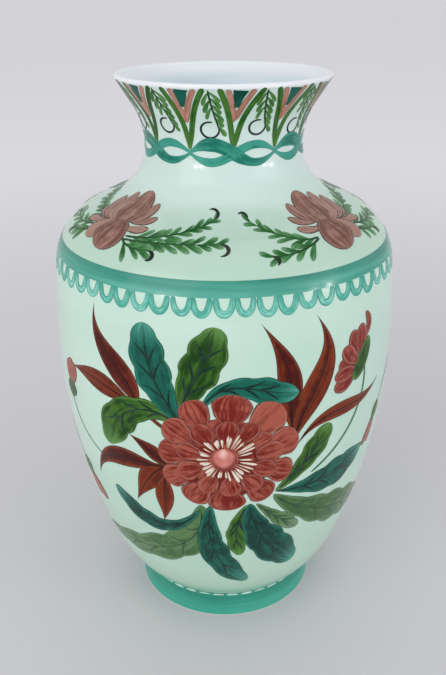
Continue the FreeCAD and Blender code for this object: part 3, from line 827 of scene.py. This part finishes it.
bouquet = {
    # leaves: points from base to tip, width, shape, where it is widest, vein pairs
    "rust": [
        ([(-52, 178), (-62, 197), (-77, 213), (-82, 235)], 16, "blade", 0.36, 0),
        ([(-53, 179), (-72, 185), (-90, 188), (-109, 187)], 14, "blade", 0.45, 0),
        ([(41, 158), (38, 184), (35, 206), (20, 233)], 15, "blade", 0.5, 0),
        ([(41, 156), (51, 184), (61, 207), (53, 234)], 17, "blade", 0.42, 0),
        ([(43, 153), (63, 168.5), (88, 170), (113, 177)], 10, "blade", 0.5, 0),
        ([(-36, 141), (-57, 139), (-79, 135), (-97, 112.5)], 14, "blade", 0.5, 0),
        ([(-35, 142), (-45, 133), (-53, 122), (-62, 105.5)], 16, "blade", 0.42, 0),
        ([(-36, 136), (-39, 122), (-40, 108), (-43, 94)], 13, "blade", 0.45, 0),
        ([(-34, 140), (-44, 149), (-60, 158)], 10.5, "blade", 0.45, 0),
        ([(-45, 174), (-35, 167)], 2.6, "line", 0.5, 0),
    ],
    "green": [
        ([(-26, 179), (-18.5, 197), (-10.5, 214), (-4, 231.5)], 24, "spoon", 0.45, 3),
        ([(-28, 172), (-48, 177.5), (-66, 167), (-77, 145)], 25, "spoon", 0.66, 3),
        ([(32, 122), (46, 135), (57, 149), (66, 163)], 17, "spoon", 0.6, 3),
        ([(14, 113), (8.5, 97), (8, 82), (11, 66)], 15, "spoon", 0.5, 3),
    ],
    "pale": [
        ([(-16, 113), (-30, 76), (-72, 60), (-121, 55)], 28, "long", 0.4, 4),
        ([(31, 119), (60, 99), (94, 87), (128, 80)], 28, "spoon", 0.5, 4),
        ([(20, 113.5), (31, 103), (41, 94.5), (53, 86)], 13, "spoon", 0.6, 3),
    ],
    "teal": [
        ([(-25, 172), (-37, 192), (-44, 211), (-46.5, 231)], 23.5, "spoon", 0.42, 3),
        ([(-13, 183), (3, 196), (22, 193.5), (42.5, 190)], 17, "spoon", 0.66, 3),
        ([(32, 121.5), (57, 120.5), (81, 122.5), (105, 132)], 24, "long", 0.64, 3),
        ([(16, 114), (21, 93), (35, 72), (58, 49.5)], 29.5, "spoon", 0.56, 3),
        ([(-9.5, 113), (-11, 86), (-4, 60), (19, 35.5)], 23, "spoon", 0.5, 4),
        ([(-16, 109), (-38, 91), (-60, 93.5), (-80, 111)], 15, "spoon", 0.6, 3),
    ],
    "centre": (-1, 148),
    "bedRadius": 29,
    # petals: centre from the flower's middle, half width, half length, tone
    "outer": [
        (-15.9, 31.0, 9.6, 9.6, 0.4), (4.8, 34.5, 12.0, 9.8, 0.25), (25.2, 27.4, 11.4, 11.4, 1.1),
        (35.2, 10.2, 10.4, 10.0, 0.8), (34.0, -9.4, 9.4, 8.6, 0.5), (22.8, -23.3, 9.6, 8.8, 0.3),
        (2.1, -30.2, 12.4, 8.4, 0.3), (-16.6, -24.9, 10.0, 8.6, 0.45), (-29.0, -12.6, 9.0, 8.4, 0.8),
        (-31.0, 3.7, 9.2, 8.2, 0.45), (-26.6, 18.6, 9.4, 9.4, 0.6),
    ],
    "inner": [
        (-12, 17.8, 7.4, 7.8, 0.3), (2.4, 19.6, 7.4, 8.0, 0.2), (14.5, 19.4, 6.2, 7.4, 0.0),
        (22.4, 13.2, 5.8, 6.8, 0.5), (27.4, 5.0, 7.4, 8.6, 0.7), (24.2, -6.6, 7.0, 7.8, 0.35),
        (17.4, -16.6, 7.2, 7.4, 0.6), (4.1, -19.4, 7.2, 7.4, 0.4), (-9, -17.2, 7.0, 7.4, 0.7),
        (-20.2, -7.4, 7.6, 7.8, 0.75), (-20.0, 5.6, 6.8, 7.8, 0.5),
    ],
    "heart": (-0.5, 149.4),
    "heartRadius": 8.3,
    "stamens": 34,
    "stamenReach": (13.0, 17.0),
    "stamenWidth": (1.2, 2.5),
    "stamenStretch": 1.22,  # those at the right reach this much further
    # small flowers at the ends of long stems: stem, bud, width
    "buds": [
        {"stem": [(-84, 131), (-107, 145), (-117, 166)],
         "bud": [(-115.5, 169), (-112.5, 190)], "width": 17},
        {"stem": [(-171.8, 98), (-163, 129), (-144, 136), (-121, 110)],
         "bud": [(-118, 107), (-104.5, 89)], "width": 16},
        {"stem": [(171.8, 118), (166, 162), (146, 176), (121, 152)],
         "bud": [(119, 149), (110, 130)], "width": 12},
    ],
    # the large bud seen from the side, at the right
    "sideStem": [(56, 130), (77, 146), (91, 167), (93.5, 193)],
    "sideCalyx": [(82.5, 186), (90, 196), (96.5, 210)],
    "sideCalyxWidth": 11,
    "stemWidth": 1.1,
    "sideStemWidth": 2.0,
    "sidePetals": [
        ([(92, 210), (96.5, 218), (93, 226)], 5.5), ([(88, 199), (89, 209), (89, 220)], 11),
        ([(86, 199), (84, 208), (80, 217.5)], 12), ([(86, 197), (79, 203), (73.5, 209)], 11),
        ([(85, 195), (77, 197), (70, 200)], 11), ([(84, 192), (76, 192.5), (67, 191)], 10.5),
        ([(82, 190), (76, 187), (67, 184)], 11.5),
    ],
}

leafKinds = [
    # part name, list, enamel, slot, layer, lobes, depth of the notches, tone of the veins
    ("RustLeaves", "rust", "rustLeaf", "rust_enamel", "rust", 0, 0.0, 0.3),
    ("GreenLeaves", "green", "greenLeaf", "green_enamel", "green", 4, 0.15, 0.3),
    ("PaleLeaves", "pale", "paleLeaf", "green_enamel", "green", 5, 0.2, 0.95),
    ("TealLeaves", "teal", "tealLeaf", "teal_enamel", "teal", 4, 0.15, -0.1),
]

veins = {
    "width": 1.4,
    "rustWidth": 1.15,  # on rust leaves, which have no pairs
    "sideWidth": (1.2, 1.7),
    "sideReach": 11.0,
}


def paintVeins(piece, points, width, shape, peak, pairs, lift, tone):
    # a line down the middle of a leaf, and pairs of short curved strokes that leave it towards the tip
    leaf = through(points)
    end = 0.86 if pairs else 0.93

    def middle(t):
        return leaf(0.04 + (end - 0.04) * t)

    addStroke(piece, middle, veins["width"] if pairs else veins["rustWidth"], "taper", lift, tone=tone)
    reach = veins["sideReach"] / lengthOf(leaf)
    for index in range(pairs):
        for side in (-1, 1):
            start = 0.12 + 0.66 * (index + random.uniform(0.1, 0.6)) / pairs
            finish = start + reach * random.uniform(0.85, 1.15)
            spread = width / 2 * shapes[shape](min(finish, 0.9), peak) * side
            route = [
                beside(leaf, start, 0.3 * side),
                beside(leaf, start + (finish - start) * 0.5, spread * 0.26),
                beside(leaf, finish, spread * random.uniform(0.6, 0.78)),
            ]
            addStroke(piece, route, random.uniform(*veins["sideWidth"]), "hook", lift, peak=0.4, tone=tone)


def paintBouquet(label, turn, flip):
    def piece(part):
        return startPiece(label + part, turn, flip=flip)

    stems = piece("Stems")
    for bud in bouquet["buds"]:
        addStroke(stems, bud["stem"], bouquet["stemWidth"], "line", layers["stem"])
    addStroke(stems, bouquet["sideStem"], bouquet["sideStemWidth"], "line", layers["stem"])
    finishPiece(stems, "stemLine")
    leafVeins, rustLines = piece("LeafVeins"), piece("RustLines")
    for part, key, finish, slot, layer, lobes, depth, tone in leafKinds:
        leaves = piece(part)
        for index, (points, width, shape, peak, pairs) in enumerate(bouquet[key]):
            lift = layers[layer] + layers["leafStep"] * (index % 3)
            addStroke(leaves, points, width, shape, lift, peak, lobes, depth, cell=1.7)
            if shape != "line":
                lines = leafVeins if pairs else rustLines
                paintVeins(lines, points, width, shape, peak, pairs, lift + layers["vein"], tone)
        finishPiece(leaves, finish)
    finishPiece(leafVeins, "veinLine")
    finishPiece(rustLines, "rustLine")
    paintFlower(piece)
    paintBuds(piece)


def paintFlower(piece):
    centreX, centreY = bouquet["centre"]
    bed, radius = piece("FlowerBed"), bouquet["bedRadius"]
    path = [(centreX, centreY - radius), (centreX, centreY + radius)]
    addStroke(bed, path, 2 * radius, "disc", layers["bed"], tone=0.2)
    finishPiece(bed, "redPetal")
    for part, key in (("OuterPetals", "outer"), ("InnerPetals", "inner")):
        petals = piece(part)
        for index, (x, y, halfWidth, halfLength, tone) in enumerate(bouquet[key]):
            size = math.hypot(x, y)
            outX, outY = x / size * halfLength, y / size * halfLength
            path = [
                (centreX + x - outX, centreY + y - outY),
                (centreX + x + outX, centreY + y + outY),
            ]
            lift = layers[key] + layers["step"] * (index % 3)
            addStroke(petals, path, halfWidth * 2, "petal", lift, cell=1.6, tone=tone)
        finishPiece(petals, "redPetal")
    paintHeart(piece)


def paintHeart(piece):
    # the raised middle of the flower, with its ring of stamens
    x, y = bouquet["heart"]
    radius, count = bouquet["heartRadius"], bouquet["stamens"]
    stamens = piece("Stamens")
    for index in range(count):
        turn = 2 * math.pi * (index + random.uniform(-0.35, 0.35)) / count
        stretch = bouquet["stamenStretch"] if math.cos(turn) > 0.25 else 1.0
        reach = random.uniform(*bouquet["stamenReach"]) * stretch
        start = radius + random.uniform(-0.6, 0.8)
        path = [
            (x + start * math.cos(turn), y + start * math.sin(turn)),
            (x + reach * math.cos(turn), y + reach * math.sin(turn)),
        ]
        addStroke(stamens, path, random.uniform(*bouquet["stamenWidth"]), "dab", layers["stamen"], peak=0.7)
    finishPiece(stamens, "creamStroke")
    centre = piece("FlowerCentre")
    path = [(x, y - radius * 0.94), (x, y + radius * 0.94)]
    addStroke(centre, path, radius * 2, "disc", layers["centre"], dome=0.5, cell=1.0)
    finishPiece(centre, "pinkCentre")


budShape = {
    # as fractions of the bud's width
    "spread": 0.27, "petalWidth": 0.56, "calyxWidth": 0.8,
    # as fractions of the bud's length, down and up from its base
    "calyxDown": 0.35, "calyxUp": 0.3,
    "shorter": 2,  # millimetres by which its two outer petals are shorter
}


def paintBuds(piece):
    buds, calyxes = piece("Buds"), piece("Calyxes")
    down, up = budShape["calyxDown"], budShape["calyxUp"]
    for bud in bouquet["buds"]:
        (baseX, baseY), (tipX, tipY) = bud["bud"]
        for side in (-1, 1, 0):
            tip = (tipX + side * bud["width"] * budShape["spread"], tipY - abs(side) * budShape["shorter"])
            lift = layers["outer"] + layers["step"] * (1 - abs(side)) + layers["step"] / 2 * (side > 0)
            petalWidth = bud["width"] * budShape["petalWidth"]
            addStroke(buds, [(baseX, baseY), tip], petalWidth, "tongue", lift, tone=0.9)
        back = (baseX - (tipX - baseX) * down, baseY - (tipY - baseY) * down)
        front = (baseX + (tipX - baseX) * up, baseY + (tipY - baseY) * up)
        addStroke(calyxes, [back, front], bud["width"] * budShape["calyxWidth"], "long", layers["inner"])
    for index, (path, width) in enumerate(bouquet["sidePetals"]):
        lift = layers["outer"] + layers["step"] * (index % 2)
        addStroke(buds, path, width, "petal", lift, cell=1.6, tone=0.15 + 0.2 * (index % 2))
    addStroke(calyxes, bouquet["sideCalyx"], bouquet["sideCalyxWidth"], "oval", layers["inner"], tone=0.1)
    finishPiece(buds, "redPetal")
    finishPiece(calyxes, "greenLeaf")


paintBouquet("front", 0, 1)
paintBouquet("back", 180, -1)
print("bouquets are painted")

shoulder = {
    "radius": 85,
    # angle from the front, the way the flower faces, the sprigs on that side
    "places": [(-48.2, 1, "reaching"), (46.9, -1, "short"), (135, 1, "reaching"), (-137, -1, "short")],
    "petals": [
        # points, width, shape, layer steps up, tone
        ([(-8, 286), (-20, 287.5), (-28, 291)], 6.5, "tongue", 0, 0.9),
        ([(-9, 284), (-20, 281.5), (-28.5, 280)], 6.5, "tongue", 1, 0.9),
        ([(-7, 287), (-21, 291), (-25, 305)], 10, "tongue", 2, 0.8),
        ([(6, 284.5), (16, 283), (25, 286)], 6.5, "tongue", 0, 1.0),
        ([(9, 288), (18, 290), (25.5, 295.5)], 6, "tongue", 1, 0.6),
        ([(7, 288), (14, 295), (18, 306.5)], 9, "tongue", 2, 0.7),
        ([(-3, 285), (-15, 294), (-12, 310)], 12, "tongue", 3, 1.1),
        ([(-2.5, 287), (-10, 279), (-11, 268.5)], 14, "tongue", 3, 1.0),
        ([(0.5, 287.5), (2, 278), (0.5, 265)], 24, "petal", 5, 0.2),
        ([(-1, 284), (1, 298), (1.5, 313.5)], 24, "petal", 4, 0.35),
    ],
    # points from the flower outwards, then the curl at the tip: centre, radius, start and sweep in degrees
    "reaching": [
        ([(14, 277.5), (40, 283), (65.5, 298)], ((63, 302), 4.4, -50, 175)),
        ([(13, 275), (40, 276.5), (68, 278.3)], ((70, 274.3), 3.8, 95, -190)),
        ([(14, 275), (21, 271), (31, 270.7)], ((33, 267.7), 2.9, 95, -190)),
    ],
    "short": [
        ([(16, 277), (33, 280), (54, 297)], ((57, 300), 3.4, 200, -160)),
        ([(16, 276), (31, 270), (46, 269)], ((46, 266), 2.8, 90, 150)),
    ],
    "outward": [
        ([(-12, 284), (-33, 290), (-57, 300)], ((-57, 304), 3.6, -90, -150)),
        ([(-14, 279), (-33, 274.5), (-50, 276)], ((-50, 272.5), 3.4, 90, 160)),
        ([(-14, 277), (-22, 271), (-33, 268.5)], ((-33, 265.8), 2.6, 90, 160)),
    ],
    "leafletStep": 7.2,
    "leafletLean": (20, 36),
    "leafletReach": (10, 13.5),
    "leafletWidth": (3.0, 4.0),
    "stemWidth": 1.4,
    "curlWidth": 2.1,
}


def paintSprig(stems, curls, leaflets, path, curl):
    route = through(path)
    addStroke(stems, path, shoulder["stemWidth"], "taper", layers["green"])
    count = max(2, round(lengthOf(route) / shoulder["leafletStep"]))
    for index in range(count):
        for side in (-1, 1):
            t = 0.06 + 0.94 * (index + 0.5 + 0.22 * side + random.uniform(-0.1, 0.1)) / count
            (x, y), (aheadX, aheadY) = route(t), route(t + 0.02)
            opened = side * math.radians(random.uniform(*shoulder["leafletLean"]))
            lean = math.atan2(aheadY - y, aheadX - x) + opened
            reach = random.uniform(*shoulder["leafletReach"]) * (1.05 - 0.25 * t)
            tip = (x + reach * math.cos(lean), y + reach * math.sin(lean))
            bow = 0.8 * side
            bend = ((x + tip[0]) / 2 + bow * math.sin(lean), (y + tip[1]) / 2 - bow * math.cos(lean))
            lift = layers["stem"] + layers["leafStep"] * ((2 * index + (side > 0)) % 5)
            leafletWidth = random.uniform(*shoulder["leafletWidth"])
            addStroke(leaflets, [(x, y), bend, tip], leafletWidth, "dab", lift, peak=0.6)
    addStroke(curls, arc(*curl), shoulder["curlWidth"], "hook", layers["green"], peak=0.4, cell=0.8)


def paintShoulder():
    for index, (turn, flip, ahead) in enumerate(shoulder["places"], start=1):
        def piece(part):
            return startPiece(f"shoulder{part}{index}", turn, shoulder["radius"], flip)

        stems, curls, leaflets = piece("SprigStems"), piece("SprigCurls"), piece("SprigLeaves")
        for path, curl in shoulder[ahead] + shoulder["outward"]:
            paintSprig(stems, curls, leaflets, path, curl)
        finishPiece(leaflets, "fernStroke")
        finishPiece(stems, "fernStem")
        finishPiece(curls, "darkLine")
        petals = piece("Petals")
        for path, width, shape, rise, tone in shoulder["petals"]:
            lift = layers["teal"] + layers["step"] * rise
            addStroke(petals, path, width, shape, lift, peak=0.6, cell=1.6, tone=tone)
        finishPiece(petals, "rosePetal")


paintShoulder()
print("shoulder flowers are painted")

trim = {
    "loops": 57,
    "loopTop": 248.6,
    "loopDrop": 9.6,
    "loopStroke": 3.9,
    "loopSlim": 1.4,  # how much narrower a loop is than its share, on each side
    "creaseRadius": 61,
    "dashes": 38,
    "dashLevel": -3.0,
    "dashHeight": 1.6,
    "dashGap": 0.9,
    "lineHeight": 3.4,
    "lineRise": 1.1,  # how far the teal line bows up between two dashes
    "lineLap": 0.8,
}


def paintTrim():
    # hanging loops under the shoulder band, and short pale dashes in a teal line round the top of the foot
    loops = startPiece("scallopLoops")
    pitch = 2 * math.pi * bellyRadius / trim["loops"]
    for index in range(trim["loops"]):
        middle = index * pitch + random.uniform(-0.6, 0.6)
        half = pitch / 2 - trim["loopSlim"] + random.uniform(-0.3, 0.3)
        drop = trim["loopDrop"] + random.uniform(-0.8, 0.8)

        def path(t):
            swing = math.pi * t
            level = trim["loopTop"] - drop * max(0.0, math.sin(swing)) ** 0.75
            return middle - half * math.cos(swing), level

        lift = layers["rust"] + layers["step"] * (index % 2)
        addStroke(loops, path, trim["loopStroke"] + random.uniform(-0.3, 0.4), "line", lift, cell=1.1)
    finishPiece(loops, "loopTeal")
    radius = trim["creaseRadius"]
    line, dashes = startPiece("creaseLine", radius=radius), startPiece("creaseDashes", radius=radius)
    pitch = 2 * math.pi * radius / trim["dashes"]
    level, lap, gap = trim["dashLevel"], trim["lineLap"], trim["dashGap"]
    for index in range(trim["dashes"]):
        start = index * pitch
        middle, end = start + pitch / 2, start + pitch
        path = [(start - lap, level), (middle, level + trim["lineRise"]), (end + lap, level)]
        addStroke(line, path, trim["lineHeight"], "line", layers["stem"] + layers["step"] * (index % 2))
        path = [(start + gap, level), (middle, level + 0.2), (end - gap, level)]
        addStroke(dashes, path, trim["dashHeight"] + random.uniform(-0.3, 0.2), "line", layers["teal"])
    finishPiece(line, "ribbonTeal")
    finishPiece(dashes, "paleDash")


paintTrim()
print("trim is painted")

neck = {
    "radius": 48,
    "repeats": 12,
    "firstTurn": 6.9,
    "top": 379.8,
    "bladeFoot": 340.5,
    "bladeBend": 361,
    "bladeSpreads": (-7.4, 11.0),
    "bladeWidth": 3.1,
    "roseFoot": 357,
    "roseBend": 368,
    "roseSpreads": (-3.8, 7.2),
    "roseWidth": 3.2,
    "wedgeFoot": 366.5,
    "wedgeShift": 1.6,
    "wedgeWidth": 6.8,
    "sprigFoot": 353,
    "sprigBend": 366,
    "sprigShift": 13.6,
    "sprigLean": 3.4,
    "sprigWidth": 0.9,
    "sprays": [  # place along the sprig's stem, side, length
        (0.06, -1, 8.5), (0.04, 1, 7), (0.26, -1, 8), (0.2, 1, 7), (0.44, -1, 8), (0.38, 1, 7),
        (0.56, 1, 6.5), (0.74, 1, 6), (0.92, 1, 5.5),
    ],
    "curlRadius": 4.4,
    "curlWidth": 1.15,
    "ribbonLevel": 338.6,
    "ribbonSwing": 4.9,
}

ribbonStrands = [
    # way it starts, widths at its start, crest, crossing, trough and end, layer steps up, tone
    (-1, (1.6, 4.8, 5.0, 4.8, 1.6), 0, 0.95),
    (1, (1.8, 8.0, 7.2, 4.4, 1.4), 1, 0.25),
]


def paintNeck():
    top = neck["top"]
    pitch = 2 * math.pi * neck["radius"] / neck["repeats"]

    def piece(part):
        return startPiece("neck" + part, neck["firstTurn"], neck["radius"])

    blades, roses, wedges = piece("Blades"), piece("RoseStrokes"), piece("Wedges")
    stems, curls, leaflets = piece("SprigStems"), piece("SprigCurls"), piece("SprigLeaves")
    ribbon = piece("Ribbon")
    for index in range(neck["repeats"]):
        middle = index * pitch + random.uniform(-0.5, 0.5)
        for side in range(2):
            rise = layers["step"] * side
            spread = neck["bladeSpreads"][side] + random.uniform(-0.9, 0.9)
            foot = (middle - 0.3 + 0.6 * side, neck["bladeFoot"])
            path = [foot, (middle + spread * 0.4, neck["bladeBend"]), (middle + spread, top)]
            addStroke(blades, path, neck["bladeWidth"], "arm", layers["green"] + rise)
            spread = neck["roseSpreads"][side] + random.uniform(-0.5, 0.5)
            foot = (middle - 0.3 + 0.6 * side, neck["roseFoot"] + random.uniform(-1.5, 1.5))
            path = [foot, (middle + spread * 0.42, neck["roseBend"]), (middle + spread, top - 0.5)]
            addStroke(roses, path, neck["roseWidth"], "arm", layers["rust"] + rise)
        foot = (middle + 0.4, neck["wedgeFoot"] + random.uniform(-1, 1))
        path = [foot, (middle + neck["wedgeShift"], top - random.uniform(0.2, 1.4))]
        addStroke(wedges, path, neck["wedgeWidth"], "wedge", layers["rust"], lobes=5, depth=0.16, cell=1.5)
        paintNeckSprig(stems, curls, leaflets, middle + neck["sprigShift"])
        if index % 2:
            paintRibbon(ribbon, index * pitch, pitch)
    finishPiece(ribbon, "ribbonTeal")
    finishPiece(wedges, "darkTeal")
    finishPiece(roses, "neckRose")
    finishPiece(blades, "greenStroke")
    finishPiece(leaflets, "sprigStroke")
    finishPiece(stems, "fernStem")
    finishPiece(curls, "darkLine")


def paintNeckSprig(stems, curls, leaflets, x):
    # a thin stem that hangs from the rim, with leaflets, and a curl at its foot
    foot = neck["sprigFoot"] + random.uniform(-1.5, 1.5)
    radius = neck["curlRadius"] * random.uniform(0.9, 1.12)
    right = x + neck["sprigLean"]
    path = [(x - 0.6, neck["top"] - 1), (x + 0.6, neck["sprigBend"]), (right, foot)]
    addStroke(stems, path, neck["sprigWidth"], "line", layers["green"])
    curl = arc((right - radius, foot), radius, 12, -300)
    addStroke(curls, curl, neck["curlWidth"], "line", layers["green"], cell=0.7)
    route = through(path)
    for index, (t, side, reach) in enumerate(neck["sprays"]):
        startX, startY = route(t)
        reach *= random.uniform(1.05, 1.3)
        tip = (startX + side * reach * (0.3 + 0.25 * (side > 0)), startY - reach * 0.88)
        bend = ((startX + tip[0]) / 2 + 0.5 * side, (startY + tip[1]) / 2)
        lift = layers["stem"] + layers["leafStep"] * (index % 4)
        addStroke(leaflets, [(startX, startY), bend, tip], random.uniform(2.0, 2.7), "dab", lift, peak=0.6)


def paintRibbon(ribbon, start, pitch):
    # two strands start together, one rises and the other dips, and they cross half way
    for way, widths, rise, tone in ribbonStrands:
        swing = neck["ribbonSwing"] * random.uniform(0.92, 1.08) * way

        def path(t):
            height = neck["ribbonLevel"] + swing * math.sin(2 * math.pi * t)
            return start + 2 * pitch * (t * 1.02 - 0.01), height

        def strandWidth(t, peak):
            step = min(int(t * 4), 3)
            share = 0.5 - 0.5 * math.cos(math.pi * (t * 4 - step))
            return widths[step] + (widths[step + 1] - widths[step]) * share

        shapes["strand"] = strandWidth
        addStroke(ribbon, path, 1.0, "strand", layers["teal"] + layers["step"] * rise, cell=1.0, tone=tone)


paintNeck()
for sheet in sheets.values():
    bpy.data.objects.remove(sheet)
print("neck is painted")
